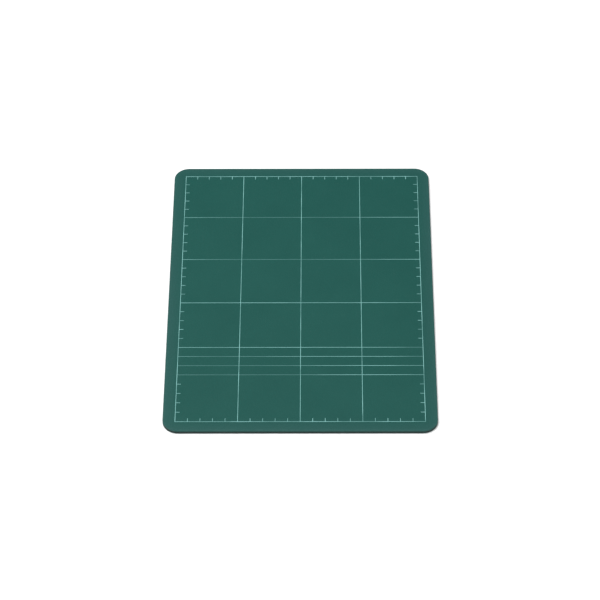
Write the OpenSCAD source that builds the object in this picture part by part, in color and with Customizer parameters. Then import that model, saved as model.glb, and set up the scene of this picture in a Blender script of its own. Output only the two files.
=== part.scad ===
// Self healing cutting mat: five laminated plies with a measuring grid printed on top.
// Origin: middle of the underside. +X is across the mat, +Y is along it, +Z is up.
// All sizes are in millimetres. The outline follows from the printed grid and its margin.

/* [Printed grid] */
// Side of one printed square
cell_size = 50; // [20:10:100]
// Squares across the mat
columns = 4; // [2:1:8]
// Rows of squares between the front border and the strip band
front_rows = 1; // [1:1:4]
// Rows of squares between the strip band and the back border
back_rows = 4; // [1:1:8]
// Narrow strips in the band that crosses the grid
band_strips = 3; // [2:1:6]
// Pitch of the scale ticks, and width of one narrow strip
scale_pitch = 10; // [5:5:10]
// Length of a scale tick, from the middle of the border line
tick_length = 3.5; // [1:0.5:4]
// Width of every printed line
line_width = 0.35; // [0.2:0.05:0.8]
// Thickness of the dried ink
ink_thickness = 0.02; // [0.01:0.01:0.05]

/* [Sheet] */
// Unprinted margin between the border line and the edge
margin = 10; // [6:1:25]
// Radius of the four corners
corner_radius = 12.5; // [4:0.5:20]
// Radius that the die rolls onto the outer edges of both cutting layers
edge_roll = 0.4; // [0.1:0.05:0.5]

/* [Plies] */
// Thickness of each soft cutting layer
cutting_layer_thickness = 0.95; // [0.6:0.05:1.5]
// Thickness of each bond film
bond_thickness = 0.05; // [0.02:0.01:0.1]
// Thickness of the stiff core
core_thickness = 1; // [0.5:0.1:2]

/* [Hidden] */
$fn = 96;

mat_green = [0.16, 0.36, 0.33];
core_black = [0.09, 0.10, 0.10];
film_grey = [0.55, 0.58, 0.56];
ink_mint = [0.64, 0.82, 0.80];

// The grid in plan.
grid_width = columns * cell_size;
band_start = front_rows * cell_size;
band_end = band_start + band_strips * scale_pitch;
grid_length = band_end + back_rows * cell_size;

// Places of the printed lines, measured from the left border and from the front border.
lengthwise_lines = [for (i = [1 : columns - 1]) i * cell_size];
front_lines = [for (i = [1 : front_rows]) i * cell_size];
back_lines = [for (i = [0 : back_rows - 1]) band_end + i * cell_size];
crosswise_lines = concat(front_lines, back_lines);
band_lines = [for (i = [1 : band_strips - 1]) band_start + i * scale_pitch];

// The sheet in plan and in height.
mat_width = grid_width + 2 * margin;
mat_length = grid_length + 2 * margin;
lower_film_z = cutting_layer_thickness;
core_z = lower_film_z + bond_thickness;
upper_film_z = core_z + core_thickness;
top_layer_z = upper_film_z + bond_thickness;
print_z = top_layer_z + cutting_layer_thickness;

// The spans between the centres of the corner arcs.
straight_width = mat_width - 2 * corner_radius;
straight_length = mat_length - 2 * corner_radius;

// True where a tick would not fall on a printed line.
function is_clear(place, lines) = min([for (line = lines) abs(place - line)]) > line_width;

// Tick places along a border of this length, leaving out those that fall on a line.
function tick_places(length, lines) =
    [for (i = [1 : length / scale_pitch - 1]) let (place = i * scale_pitch)
        if (is_clear(place, lines)) place];

// ---- plies ----

// Outline of the mat, as flat shapes so that the corners stay true arcs.
module mat_outline() {
    square([straight_width, mat_length], center = true);
    square([mat_width, straight_length], center = true);
    for (x = [-1, 1], y = [-1, 1])
        translate([x * straight_width / 2, y * straight_length / 2])
            circle(r = corner_radius);
}

// One ply with square edges.
module square_ply(thickness) {
    linear_extrude(height = thickness)
        mat_outline();
}

// Section of a cutting layer's rim. X runs outwards from the centre of the corner arc.
module rim_section() {
    square([corner_radius, cutting_layer_thickness - edge_roll]);
    square([corner_radius - edge_roll, cutting_layer_thickness]);
    translate([corner_radius - edge_roll, cutting_layer_thickness - edge_roll])
        circle(r = edge_roll);
}

// A straight length of rim along Y.
module straight_rim(length) {
    rotate([90, 0, 0])
        linear_extrude(height = length, center = true)
            rim_section();
}

// One cutting layer, with its upper edge rolled over.
module rolled_ply() {
    translate([-straight_width / 2, -straight_length / 2, 0])
        cube([straight_width, straight_length, cutting_layer_thickness]);
    for (turn = [0, 180])
        rotate([0, 0, turn]) {
            translate([straight_width / 2, 0, 0])
                straight_rim(straight_length);
            translate([0, straight_length / 2, 0])
                rotate([0, 0, 90])
                    straight_rim(straight_width);
            translate([straight_width / 2, straight_length / 2, 0])
                rotate_extrude(angle = 90)
                    rim_section();
            translate([-straight_width / 2, straight_length / 2, 0])
                rotate([0, 0, 90])
                    rotate_extrude(angle = 90)
                        rim_section();
        }
}

module bottom_cutting_layer() {
    color(mat_green)
        translate([0, 0, cutting_layer_thickness])
            mirror([0, 0, 1])
                rolled_ply();
}

module lower_bond_film() {
    color(film_grey)
        translate([0, 0, lower_film_z])
            square_ply(bond_thickness);
}

module core_sheet() {
    color(core_black)
        translate([0, 0, core_z])
            square_ply(core_thickness);
}

module upper_bond_film() {
    color(film_grey)
        translate([0, 0, upper_film_z])
            square_ply(bond_thickness);
}

module top_cutting_layer() {
    color(mat_green)
        translate([0, 0, top_layer_z])
            rolled_ply();
}

// ---- print ----

// Lays flat line work as a film of ink. The line work's own origin is the grid's front left corner.
module ink() {
    color(ink_mint)
        translate([-grid_width / 2, -grid_length / 2, print_z])
            linear_extrude(height = ink_thickness)
                children();
}

// A line across the grid, between the inner edges of the border.
module crosswise_line(y) {
    translate([line_width / 2, y - line_width / 2])
        square([grid_width - line_width, line_width]);
}

// A line along the grid, between the inner edges of the border.
module lengthwise_line(x) {
    translate([x - line_width / 2, line_width / 2])
        square([line_width, grid_length - line_width]);
}

module lengthwise_work() {
    for (x = lengthwise_lines)
        lengthwise_line(x);
}

// Ticks that stand on a border and point into the grid, along +Y before they are turned.
module ticks(places) {
    for (x = places)
        translate([x - line_width / 2, line_width / 2])
            square([line_width, tick_length - line_width / 2]);
}

module print_border() {
    ink()
        difference() {
            translate([-line_width / 2, -line_width / 2])
                square([grid_width + line_width, grid_length + line_width]);
            translate([line_width / 2, line_width / 2])
                square([grid_width - line_width, grid_length - line_width]);
        }
}

module print_grid_lengthwise() {
    ink()
        lengthwise_work();
}

module print_grid_crosswise() {
    ink()
        difference() {
            for (y = crosswise_lines)
                crosswise_line(y);
            lengthwise_work();
        }
}

module print_band_lines() {
    ink()
        difference() {
            for (y = band_lines)
                crosswise_line(y);
            lengthwise_work();
        }
}

module print_scale_left() {
    ink()
        translate([0, grid_length])
            rotate(-90)
                ticks([for (y = tick_places(grid_length, concat(crosswise_lines, band_lines)))
                    grid_length - y]);
}

module print_scale_right() {
    ink()
        translate([grid_width, 0])
            rotate(90)
                ticks(tick_places(grid_length, concat(crosswise_lines, band_lines)));
}

module print_scale_front() {
    ink()
        ticks(tick_places(grid_width, lengthwise_lines));
}

module print_scale_back() {
    ink()
        translate([0, grid_length])
            mirror([0, 1])
                ticks(tick_places(grid_width, lengthwise_lines));
}

bottom_cutting_layer();
lower_bond_film();
core_sheet();
upper_bond_film();
top_cutting_layer();
print_border();
print_grid_lengthwise();
print_grid_crosswise();
print_band_lines();
print_scale_left();
print_scale_right();
print_scale_front();
print_scale_back();
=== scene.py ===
"""Looks of the self healing mat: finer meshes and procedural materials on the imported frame.

Everything is in metres, in the row frame: +X across the mat, +Y along it, +Z up, with the
origin in the middle of the underside.
"""

import math

import bmesh
import bpy
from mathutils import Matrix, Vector


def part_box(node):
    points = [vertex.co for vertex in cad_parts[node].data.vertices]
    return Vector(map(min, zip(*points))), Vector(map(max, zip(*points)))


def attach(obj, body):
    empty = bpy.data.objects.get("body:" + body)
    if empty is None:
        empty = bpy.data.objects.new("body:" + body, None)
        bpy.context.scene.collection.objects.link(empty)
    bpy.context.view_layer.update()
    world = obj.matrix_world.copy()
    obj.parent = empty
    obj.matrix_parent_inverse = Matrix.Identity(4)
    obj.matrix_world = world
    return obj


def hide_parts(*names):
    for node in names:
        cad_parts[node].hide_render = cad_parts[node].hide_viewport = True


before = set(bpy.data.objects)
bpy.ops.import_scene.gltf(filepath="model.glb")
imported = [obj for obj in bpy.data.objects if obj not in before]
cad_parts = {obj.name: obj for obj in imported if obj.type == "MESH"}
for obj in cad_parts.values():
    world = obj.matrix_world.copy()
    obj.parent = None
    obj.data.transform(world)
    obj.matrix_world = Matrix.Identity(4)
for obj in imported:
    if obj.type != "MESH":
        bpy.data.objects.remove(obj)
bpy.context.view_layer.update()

MM = 0.001
SLIVER = 0.001 * MM  # points closer than this count as one place
BODY = "root"

# ---- sizes taken from the frame ----

SHEET_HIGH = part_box("core_sheet")[1]
TOP_LOW, TOP_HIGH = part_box("top_cutting_layer")
INK_LOW, INK_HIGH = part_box("print_border")


def straight_half_length(node):
    """How far a node's longest straight side runs from the middle, along Y."""
    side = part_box(node)[1].x
    on_side = [v.co.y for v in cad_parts[node].data.vertices if side - v.co.x < SLIVER]
    return max(on_side)


def flat_half_width(node):
    """How far a node's flat top runs from the middle, along X."""
    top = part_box(node)[1].z
    return max(v.co.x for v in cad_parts[node].data.vertices if top - v.co.z < SLIVER)


HALF_WIDTH = SHEET_HIGH.x
HALF_LENGTH = SHEET_HIGH.y
CORNER_RADIUS = HALF_LENGTH - straight_half_length("core_sheet")
EDGE_ROLL = TOP_HIGH.x - flat_half_width("top_cutting_layer")  # radius rolled onto an outer edge

# ---- details that only the looks have ----

CUT_DRAFT = 0.06 * MM  # how far the cut leans in from a cutting layer's skin to the core
CORE_RECESS = 0.10 * MM  # the stiff core springs back from the cut
FILM_RECESS = 0.14 * MM  # the soft film is drawn in a little further
ROLL_STEPS = 5
ARC_STEPS = 28
SHARP_ANGLE = math.radians(40)  # edges that turn more than this are shaded sharp
RIM_INSETS = (1.0 * MM, 2.5 * MM, 6.0 * MM)  # rings for the edge distance, off the grid cuts
MARGIN_WIDTH = 14.0 * MM  # how far in the paler margin of painted sheen reaches
WORN_WIDTH = 3.0 * MM  # how far in the scuffs reach
MESH_PITCH = 5.0 * MM
INK_SHOULDER = 0.03 * MM  # the sloping side of a printed line


# ---- meshes ----


def outline(inset):
    """The mat's outline moved inwards by inset, anticlockwise from the right side."""
    centre_x = HALF_WIDTH - CORNER_RADIUS
    centre_y = HALF_LENGTH - CORNER_RADIUS
    arc = CORNER_RADIUS - inset
    points = []
    for quarter, (side_x, side_y) in enumerate(((1, 1), (-1, 1), (-1, -1), (1, -1))):
        for step in range(ARC_STEPS + 1):
            angle = math.pi / 2 * (quarter + step / ARC_STEPS)
            x = side_x * centre_x + arc * math.cos(angle)
            y = side_y * centre_y + arc * math.sin(angle)
            points.append((x, y))
    return points


def edge_distance(x, y):
    """How far a point is from the mat's outline, inwards."""
    past_x = abs(x) - (HALF_WIDTH - CORNER_RADIUS)
    past_y = abs(y) - (HALF_LENGTH - CORNER_RADIUS)
    outside = math.hypot(max(past_x, 0), max(past_y, 0))
    return CORNER_RADIUS - outside - min(max(past_x, past_y), 0)


def cut_to_grid(mesh, pitch):
    """Cuts the whole mesh on a regular grid inside its rim, so that its large faces are
    near-square. A cut along the rim itself would leave faces with no area."""
    for axis, reach in ((0, HALF_WIDTH), (1, HALF_LENGTH)):
        lines = int((reach - EDGE_ROLL) / pitch)
        for i in range(-lines, lines + 1):
            place = [0, 0, 0]
            place[axis] = i * pitch
            normal = [0, 0, 0]
            normal[axis] = 1
            everything = mesh.verts[:] + mesh.edges[:] + mesh.faces[:]
            bmesh.ops.bisect_plane(mesh, geom=everything, plane_co=place, plane_no=normal)
    bmesh.ops.dissolve_degenerate(mesh, dist=SLIVER, edges=mesh.edges)


def new_piece(name, mesh, materials):
    """Makes a piece from a bmesh, smooth except at its sharp edges, and frees the bmesh."""
    bmesh.ops.recalc_face_normals(mesh, faces=mesh.faces)
    data = bpy.data.meshes.new(name)
    mesh.to_mesh(data)
    mesh.free()
    for material in materials:
        data.materials.append(material)
    data.shade_smooth()
    data.set_sharp_from_angle(angle=SHARP_ANGLE)
    piece = bpy.data.objects.new(name, data)
    bpy.context.scene.collection.objects.link(piece)
    return piece


def store_edge_distance(piece):
    """Stores how far in each point lies, as a share of the margin's width."""
    shares = piece.data.attributes.new("inwards", "FLOAT", "POINT")
    for vertex, value in zip(piece.data.vertices, shares.data):
        value.value = edge_distance(vertex.co.x, vertex.co.y) / MARGIN_WIDTH


def sheet_mesh(levels, cut_levels):
    """A closed sheet from (inset, height) levels, listed from under its rim, round its edge
    and back in over its top. Faces from a cut level up to the next level get the second
    material."""
    mesh = bmesh.new()
    rings = [[mesh.verts.new((x, y, z)) for x, y in outline(inset)] for inset, z in levels]
    count = len(rings[0])
    for level, (lower, upper) in enumerate(zip(rings, rings[1:])):
        for i in range(count):
            j = (i + 1) % count
            face = mesh.faces.new((lower[i], lower[j], upper[j], upper[i]))
            face.material_index = 1 if level in cut_levels else 0
    mesh.faces.new(rings[0][::-1])
    mesh.faces.new(rings[-1])
    cut_to_grid(mesh, MESH_PITCH)
    return mesh


def cutting_layer(name, node, outer_z, inner_z, materials):
    """A soft layer whose outer edge is rolled over. outer_z is its skin, inner_z its bond."""
    up = 1 if outer_z > inner_z else -1
    flat = [(inset, outer_z) for inset in reversed(RIM_INSETS)]
    roll = []
    for step in range(ROLL_STEPS + 1):
        angle = math.pi / 2 * step / ROLL_STEPS
        inset = EDGE_ROLL * (1 - math.sin(angle))
        roll.append((inset, outer_z - up * EDGE_ROLL * (1 - math.cos(angle))))
    levels = flat + roll + [(CUT_DRAFT, inner_z)]
    cut_level = len(levels) - 2
    if up > 0:
        levels.reverse()
        cut_level = 0
    piece = new_piece(name, sheet_mesh(levels, (cut_level,)), materials)
    store_edge_distance(piece)
    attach(piece, BODY)
    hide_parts(node)


def inner_sheet(name, node, recess, material):
    """A ply that only shows at the cut edge, set back from it by recess."""
    low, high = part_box(node)
    levels = [(recess, low.z), (recess, high.z)]
    piece = new_piece(name, sheet_mesh(levels, ()), [material])
    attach(piece, BODY)
    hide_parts(node)


def bars_of(node):
    """The (lowest, highest) corners of each separate solid in a CAD node."""
    mesh = bmesh.new()
    mesh.from_mesh(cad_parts[node].data)
    bmesh.ops.remove_doubles(mesh, verts=mesh.verts, dist=SLIVER)
    bars = []
    left = set(mesh.verts)
    while left:
        island = {left.pop()}
        edge_of_island = list(island)
        while edge_of_island:
            vertex = edge_of_island.pop()
            near = {edge.other_vert(vertex) for edge in vertex.link_edges} & left
            left -= near
            island |= near
            edge_of_island.extend(near)
        corners = [v.co for v in island]
        low = Vector([min(c[i] for c in corners) for i in range(3)])
        high = Vector([max(c[i] for c in corners) for i in range(3)])
        bars.append((low, high))
    mesh.free()
    return sorted(bars, key=lambda bar: tuple(bar[0]))


def frame_bars(low, high, width):
    """Four bars that make a rectangular frame of that line width, meeting end to side."""
    inner_low = low + Vector((width, width, 0))
    inner_high = high - Vector((width, width, 0))
    return [
        (low, Vector((inner_low.x, high.y, high.z))),
        (Vector((inner_high.x, low.y, low.z)), high),
        (Vector((inner_low.x, low.y, low.z)), Vector((inner_high.x, inner_low.y, high.z))),
        (Vector((inner_low.x, inner_high.y, low.z)), Vector((inner_high.x, high.y, high.z))),
    ]


def add_ink_bar(mesh, low, high):
    """One printed line: a low bar whose long sides slope in to its flat top."""
    lengthwise = high.y - low.y > high.x - low.x
    slope_x = INK_SHOULDER if lengthwise else 0
    slope_y = 0 if lengthwise else INK_SHOULDER
    foot = [(low.x, low.y), (high.x, low.y), (high.x, high.y), (low.x, high.y)]
    top = [
        (low.x + slope_x, low.y + slope_y),
        (high.x - slope_x, low.y + slope_y),
        (high.x - slope_x, high.y - slope_y),
        (low.x + slope_x, high.y - slope_y),
    ]
    lower = [mesh.verts.new((x, y, low.z)) for x, y in foot]
    upper = [mesh.verts.new((x, y, high.z)) for x, y in top]
    mesh.faces.new(lower[::-1])
    mesh.faces.new(upper)
    for i in range(4):
        j = (i + 1) % 4
        mesh.faces.new((lower[i], lower[j], upper[j], upper[i]))


def ink_piece(name, node, bars, material):
    """All the printed lines of one node."""
    mesh = bmesh.new()
    for low, high in bars:
        add_ink_bar(mesh, low, high)
    cut_to_grid(mesh, MESH_PITCH)
    piece = new_piece(name, mesh, [material])
    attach(piece, BODY)
    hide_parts(node)


# ---- materials ----

NOISE_RANGE = (0.3, 0.7)  # noise values that give the two ends of a varied value


class Nodes:
    """Builds one procedural material, with a few calls for what these materials share."""

    def __init__(self, name, roughness, specular):
        self.material = bpy.data.materials.new(name)
        self.material.use_nodes = True
        self.tree = self.material.node_tree
        self.shader = self.tree.nodes["Principled BSDF"]
        self.shader.inputs["Roughness"].default_value = roughness
        self.shader.inputs["Specular IOR Level"].default_value = specular
        self.place = self.add("ShaderNodeTexCoord").outputs["Object"]

    def add(self, kind):
        return self.tree.nodes.new(kind)

    def link(self, source, target):
        self.tree.links.new(source, target)

    def stretched(self, scale):
        """The object's own coordinates, stretched by a factor along each axis."""
        node = self.add("ShaderNodeVectorMath")
        node.operation = "MULTIPLY"
        node.inputs[1].default_value = scale
        self.link(self.place, node.inputs[0])
        return node.outputs["Vector"]

    def ellipse(self, middle, reach):
        """How far out a point is from middle in plan, 1 being on an ellipse of that reach."""
        offset = self.add("ShaderNodeVectorMath")
        offset.operation = "SUBTRACT"
        offset.inputs[1].default_value = (*middle, 0)
        self.link(self.place, offset.inputs[0])
        share = self.add("ShaderNodeVectorMath")
        share.operation = "MULTIPLY"
        share.inputs[1].default_value = (1 / reach[0], 1 / reach[1], 0)
        self.link(offset.outputs["Vector"], share.inputs[0])
        length = self.add("ShaderNodeVectorMath")
        length.operation = "LENGTH"
        self.link(share.outputs["Vector"], length.inputs[0])
        return length.outputs["Value"]

    def noise(self, feature, detail=2.0, roughness=0.5, place=None):
        """Noise whose features are about this many metres across."""
        node = self.add("ShaderNodeTexNoise")
        node.inputs["Scale"].default_value = 1 / feature
        node.inputs["Detail"].default_value = detail
        node.inputs["Roughness"].default_value = roughness
        self.link(place or self.place, node.inputs["Vector"])
        return node.outputs["Fac"]

    def pebbles(self, feature, smoothness=0.6):
        """Rounded grains about this many metres across."""
        node = self.add("ShaderNodeTexVoronoi")
        node.feature = "SMOOTH_F1"
        node.inputs["Scale"].default_value = 1 / feature
        node.inputs["Smoothness"].default_value = smoothness
        self.link(self.place, node.inputs["Vector"])
        return node.outputs["Distance"]

    def spread(self, value, low, high, to_low=0.0, to_high=1.0):
        """Maps a value's range onto another, and holds it there."""
        node = self.add("ShaderNodeMapRange")
        node.inputs["From Min"].default_value = low
        node.inputs["From Max"].default_value = high
        node.inputs["To Min"].default_value = to_low
        node.inputs["To Max"].default_value = to_high
        self.link(value, node.inputs["Value"])
        return node.outputs["Result"]

    def varied(self, noise, low, high):
        """A value that follows a noise between low and high."""
        return self.spread(noise, *NOISE_RANGE, low, high)

    def product(self, first, second):
        node = self.add("ShaderNodeMath")
        node.operation = "MULTIPLY"
        self.link(first, node.inputs[0])
        self.link(second, node.inputs[1])
        return node.outputs["Value"]

    def attribute(self, name):
        node = self.add("ShaderNodeAttribute")
        node.attribute_name = name
        return node.outputs["Fac"]

    def mix(self, factor, first, second):
        """Mixes two colours, each a linear RGB triple or a socket."""
        node = self.add("ShaderNodeMix")
        node.data_type = "RGBA"
        self.link(factor, node.inputs["Factor"])
        sockets = [s for s in node.inputs if s.type == "RGBA"]
        for colour, socket in zip((first, second), sockets):
            if isinstance(colour, tuple):
                socket.default_value = (*colour, 1)
            else:
                self.link(colour, socket)
        return next(s for s in node.outputs if s.type == "RGBA")

    def bump(self, height, depth, before=None):
        """Relief of that depth in metres, on top of an earlier relief."""
        node = self.add("ShaderNodeBump")
        node.inputs["Strength"].default_value = 1.0
        node.inputs["Distance"].default_value = depth
        self.link(height, node.inputs["Height"])
        if before:
            self.link(before, node.inputs["Normal"])
        return node.outputs["Normal"]

    def finish(self, colour, roughness, normal):
        self.link(colour, self.shader.inputs["Base Color"])
        self.link(roughness, self.shader.inputs["Roughness"])
        self.link(normal, self.shader.inputs["Normal"])
        return self.material


GREEN = (0.0050, 0.0705, 0.0580)
GREEN_PALE = (0.0066, 0.0760, 0.0625)
GREEN_SPECK = (0.0046, 0.0600, 0.0495)
# Painted sheen: the paler, greyer green of the margin near the outline.
GREEN_MARGIN_SHEEN = (0.0165, 0.0825, 0.0740)
GREEN_WORN = (0.0300, 0.0980, 0.0880)
CORE_BLACK = (0.0085, 0.0100, 0.0100)
CORE_SCUFF = (0.0220, 0.0255, 0.0250)
FILM_GREY = (0.0380, 0.0540, 0.0500)
FILM_DARK = (0.0220, 0.0320, 0.0300)
INK_MINT = (0.2900, 0.6200, 0.6000)
INK_THIN = (0.1150, 0.3000, 0.2800)
PAPER_SHADE = (0.95, 0.95, 0.95)
PAPER_WHITE = (0.97, 0.97, 0.97)

# Marks on the skin: how far across they are, and how deep.
CLOUD_SIZE = 45 * MM
SPECK_SIZE = 0.6 * MM
SCUFF_SIZE = 2.2 * MM
SCUFF_STRENGTH = 0.5
POLISH_SIZE = 8 * MM
SWELL_SIZE = 14 * MM
SWELL_DEPTH = 0.03 * MM
GRAIN_SIZE = 0.7 * MM
GRAIN_DEPTH = 0.09 * MM

# Marks on the cut edge. A small stretch factor makes the die's drag marks long upright.
BLOTCH_SIZE = 6 * MM
VINYL_DRAG = 0.25 * MM
VINYL_DRAG_DEPTH = 0.04 * MM
VINYL_DRAG_STRETCH = 0.12
CORE_DRAG = 0.20 * MM
CORE_DRAG_DEPTH = 0.03 * MM
CORE_DRAG_STRETCH = 0.10
CORE_POLISH_SIZE = 3 * MM
FILM_PATCH_SIZE = 1.5 * MM
FILM_GRAIN = 0.3 * MM
FILM_GRAIN_DEPTH = 0.02 * MM

# Marks in the print.
COVER_SIZE = 26 * MM  # how far apart the ink's strong and weak places are
PINHOLE_SIZE = 0.16 * MM
INK_GRAIN = 0.12 * MM
INK_GRAIN_DEPTH = 0.006 * MM
INK_POLISH_SIZE = 1 * MM
THIN_LOSS = 0.65  # share of the ink's colour that is lost in the middle of a thin place
THIN_CORE = 0.5  # share of a thin place's reach that loses all of that

# Where the print across the mat is thin, as (middle, reach) of an ellipse in plan. Fitted to
# how strong the lines measure in the photo, and rounded to 5 mm.
THIN_PLACES = (
    ((-15 * MM, 65 * MM), (125 * MM, 60 * MM)),
    ((-60 * MM, -85 * MM), (105 * MM, 30 * MM)),
    ((110 * MM, -50 * MM), (45 * MM, 55 * MM)),
)

# Marks on the paper under the mat.
PAPER_TONE_SIZE = 500 * MM
PAPER_GRAIN = 2 * MM
PAPER_GRAIN_DEPTH = 0.01 * MM


def vinyl_skin():
    """Matte vinyl: a fine pressed grain, faint clouding, a margin made paler by painted sheen,
    and a scuffed rim.
    """
    n = Nodes("vinyl_skin", roughness=0.55, specular=0.18)
    clouds = n.noise(CLOUD_SIZE, detail=3.0)
    colour = n.mix(n.spread(clouds, 0.35, 0.65), GREEN, GREEN_PALE)
    inwards = n.attribute("inwards")
    # Painted sheen: the colour turns paler and greyer across the margin, most at the outline.
    colour = n.mix(n.spread(inwards, 0.0, 1.0, 1.0, 0.0), colour, GREEN_MARGIN_SHEEN)
    specks = n.noise(SPECK_SIZE, detail=2.0)
    colour = n.mix(n.spread(specks, 0.50, 0.68), colour, GREEN_SPECK)
    scuffs = n.spread(n.noise(SCUFF_SIZE, detail=4.0, roughness=0.65), 0.42, 0.62)
    worn = n.spread(inwards, 0.0, WORN_WIDTH / MARGIN_WIDTH, SCUFF_STRENGTH, 0.0)
    colour = n.mix(n.product(worn, scuffs), colour, GREEN_WORN)
    roughness = n.varied(n.noise(POLISH_SIZE, detail=4.0), 0.50, 0.60)
    relief = n.bump(n.noise(SWELL_SIZE, detail=2.0), SWELL_DEPTH)
    relief = n.bump(n.pebbles(GRAIN_SIZE), GRAIN_DEPTH, relief)
    return n.finish(colour, roughness, relief)


def vinyl_cut():
    """The same vinyl where the die has cut it: duller, with fine upright drag lines."""
    n = Nodes("vinyl_cut", roughness=0.7, specular=0.25)
    upright = n.stretched((1.0, 1.0, VINYL_DRAG_STRETCH))
    drag = n.noise(VINYL_DRAG, detail=3.0, place=upright)
    colour = n.mix(n.spread(drag, 0.35, 0.70), GREEN_SPECK, GREEN_PALE)
    blotches = n.noise(BLOTCH_SIZE, detail=2.0)
    colour = n.mix(n.spread(blotches, 0.5, 0.8, 0.0, 0.5), colour, GREEN_WORN)
    roughness = n.varied(drag, 0.62, 0.78)
    relief = n.bump(drag, VINYL_DRAG_DEPTH)
    return n.finish(colour, roughness, relief)


def core_edge():
    """Stiff near-black sheet, seen only at the cut, with upright drag lines."""
    n = Nodes("core_edge", roughness=0.6, specular=0.35)
    upright = n.stretched((1.0, 1.0, CORE_DRAG_STRETCH))
    drag = n.noise(CORE_DRAG, detail=3.0, place=upright)
    colour = n.mix(n.spread(drag, 0.45, 0.80), CORE_BLACK, CORE_SCUFF)
    roughness = n.varied(n.noise(CORE_POLISH_SIZE), 0.50, 0.68)
    relief = n.bump(drag, CORE_DRAG_DEPTH)
    return n.finish(colour, roughness, relief)


def bond_film():
    """Thin adhesive film, patchy where it was squeezed out at the cut."""
    n = Nodes("bond_film", roughness=0.5, specular=0.4)
    patches = n.noise(FILM_PATCH_SIZE, detail=3.0)
    colour = n.mix(n.spread(patches, 0.4, 0.6), FILM_DARK, FILM_GREY)
    roughness = n.varied(patches, 0.42, 0.60)
    relief = n.bump(n.noise(FILM_GRAIN), FILM_GRAIN_DEPTH)
    return n.finish(colour, roughness, relief)


def printing_ink(name, unevenness, thin_places=()):
    """Matte screen-printed ink. It is uneven, pierced by pinholes, and thin in some places."""
    n = Nodes(name, roughness=0.6, specular=0.2)
    cover = n.noise(COVER_SIZE, detail=4.0, roughness=0.55)
    colour = n.mix(n.spread(cover, 0.42, 0.62, 0.0, unevenness), INK_MINT, INK_THIN)
    for middle, reach in thin_places:
        share = n.spread(n.ellipse(middle, reach), THIN_CORE, 1.0, THIN_LOSS, 0.0)
        colour = n.mix(share, colour, GREEN_PALE)
    pinholes = n.noise(PINHOLE_SIZE, detail=1.0)
    colour = n.mix(n.spread(pinholes, 0.66, 0.74), colour, GREEN_PALE)
    roughness = n.varied(n.noise(INK_POLISH_SIZE), 0.52, 0.66)
    relief = n.bump(n.noise(INK_GRAIN, detail=2.0), INK_GRAIN_DEPTH)
    return n.finish(colour, roughness, relief)


def studio_paper():
    """Plain pale paper under the mat."""
    n = Nodes("studio_paper", roughness=0.9, specular=0.1)
    tone = n.noise(PAPER_TONE_SIZE, detail=2.0)
    colour = n.mix(tone, PAPER_SHADE, PAPER_WHITE)
    roughness = n.varied(tone, 0.85, 0.95)
    relief = n.bump(n.noise(PAPER_GRAIN), PAPER_GRAIN_DEPTH)
    return n.finish(colour, roughness, relief)


# ---- the mat ----

skin = vinyl_skin()
cut = vinyl_cut()
cutting_layer("top_layer", "top_cutting_layer", TOP_HIGH.z, TOP_LOW.z, [skin, cut])
bottom_low, bottom_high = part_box("bottom_cutting_layer")
cutting_layer("bottom_layer", "bottom_cutting_layer", bottom_low.z, bottom_high.z, [skin, cut])

inner_sheet("core", "core_sheet", CORE_RECESS, core_edge())
film = bond_film()
inner_sheet("upper_film", "upper_bond_film", FILM_RECESS, film)
inner_sheet("lower_film", "lower_bond_film", FILM_RECESS, film)

ink = printing_ink("printing_ink", unevenness=0.8)
crosswise_ink = printing_ink("printing_ink_crosswise", unevenness=0.4, thin_places=THIN_PLACES)
LINE_WIDTH = min(min(high.x - low.x, high.y - low.y) for low, high in bars_of("print_band_lines"))
ink_piece("border_ink", "print_border", frame_bars(INK_LOW, INK_HIGH, LINE_WIDTH), ink)
for line_group, group_ink in (
    ("grid_lengthwise", ink),
    ("grid_crosswise", crosswise_ink),
    ("band_lines", crosswise_ink),
    ("scale_left", ink),
    ("scale_right", ink),
    ("scale_front", ink),
    ("scale_back", ink),
):
    line_node = "print_" + line_group
    ink_piece(line_group + "_ink", line_node, bars_of(line_node), group_ink)


# ---- stage, light and camera ----

FLOOR_RADIUS = 3.0
SWEEP_RADIUS = 0.6
WALL_TOP = 1.4
SWEEP_STEPS = 12
STAGE_SIDES = 96
WORLD_STRENGTH = 0.32

CAMERA_PLACE = (0.0174, -1.5798, 1.6759)
CAMERA_TURN = (43.236, 0.376, 0.261)  # degrees about X, Y and Z
CAMERA_LENS = 165.92  # focal length in millimetres
CAMERA_SENSOR = 36.0  # sensor width in millimetres


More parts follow.
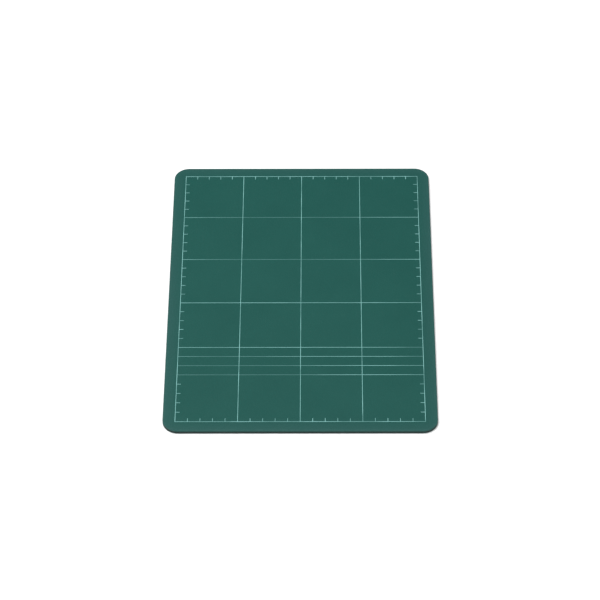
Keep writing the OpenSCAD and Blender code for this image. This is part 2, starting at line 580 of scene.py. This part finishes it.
def studio_sweep():
    """A round pale floor that curves up into a low wall, so that no hard horizon shows."""
    section = [(FLOOR_RADIUS, 0.0)]
    for step in range(1, SWEEP_STEPS + 1):
        angle = math.pi / 2 * step / SWEEP_STEPS
        out = FLOOR_RADIUS + SWEEP_RADIUS * math.sin(angle)
        section.append((out, SWEEP_RADIUS * (1 - math.cos(angle))))
    section.append((FLOOR_RADIUS + SWEEP_RADIUS, WALL_TOP))
    mesh = bmesh.new()
    centre = mesh.verts.new((0, 0, 0))
    rings = []
    for radius, height in section:
        ring = []
        for side in range(STAGE_SIDES):
            angle = 2 * math.pi * side / STAGE_SIDES
            place = (radius * math.cos(angle), radius * math.sin(angle), height)
            ring.append(mesh.verts.new(place))
        rings.append(ring)
    for i in range(STAGE_SIDES):
        j = (i + 1) % STAGE_SIDES
        mesh.faces.new((centre, rings[0][i], rings[0][j]))
        for inner, outer in zip(rings, rings[1:]):
            mesh.faces.new((inner[i], outer[i], outer[j], inner[j]))
    floor = new_piece("studio_floor", mesh, [studio_paper()])


def softbox(name, place, size, power):
    """A square soft light that faces the middle of the mat."""
    light = bpy.data.lights.new(name, "AREA")
    light.shape = "SQUARE"
    light.size = size
    light.energy = power
    lamp = bpy.data.objects.new(name, light)
    lamp.location = place
    lamp.rotation_euler = (-Vector(place)).to_track_quat("-Z", "Y").to_euler()
    bpy.context.scene.collection.objects.link(lamp)


def studio_world(strength):
    """Even dim light from all round."""
    world = bpy.data.worlds.new("studio")
    world.use_nodes = True
    background = world.node_tree.nodes["Background"]
    background.inputs["Color"].default_value = (1.0, 1.0, 1.0, 1.0)
    background.inputs["Strength"].default_value = strength
    bpy.context.scene.world = world


def view_camera():
    """Seen from the front, 47 degrees above the table, from 2.3 m away with a long lens."""
    data = bpy.data.cameras.new("camera")
    data.sensor_width = CAMERA_SENSOR
    data.lens = CAMERA_LENS
    camera = bpy.data.objects.new("camera", data)
    camera.location = CAMERA_PLACE
    camera.rotation_euler = [math.radians(angle) for angle in CAMERA_TURN]
    bpy.context.scene.collection.objects.link(camera)
    bpy.context.scene.camera = camera


studio_sweep()
softbox("key_light", place=(-0.45, 0.05, 1.45), size=1.0, power=18.5)
softbox("fill_light", place=(0.90, -0.90, 2.10), size=1.4, power=3.0)
softbox("top_light", place=(0.00, 0.00, 2.40), size=1.8, power=19.0)
studio_world(WORLD_STRENGTH)
view_camera()
bpy.context.scene.view_settings.view_transform = "Standard"
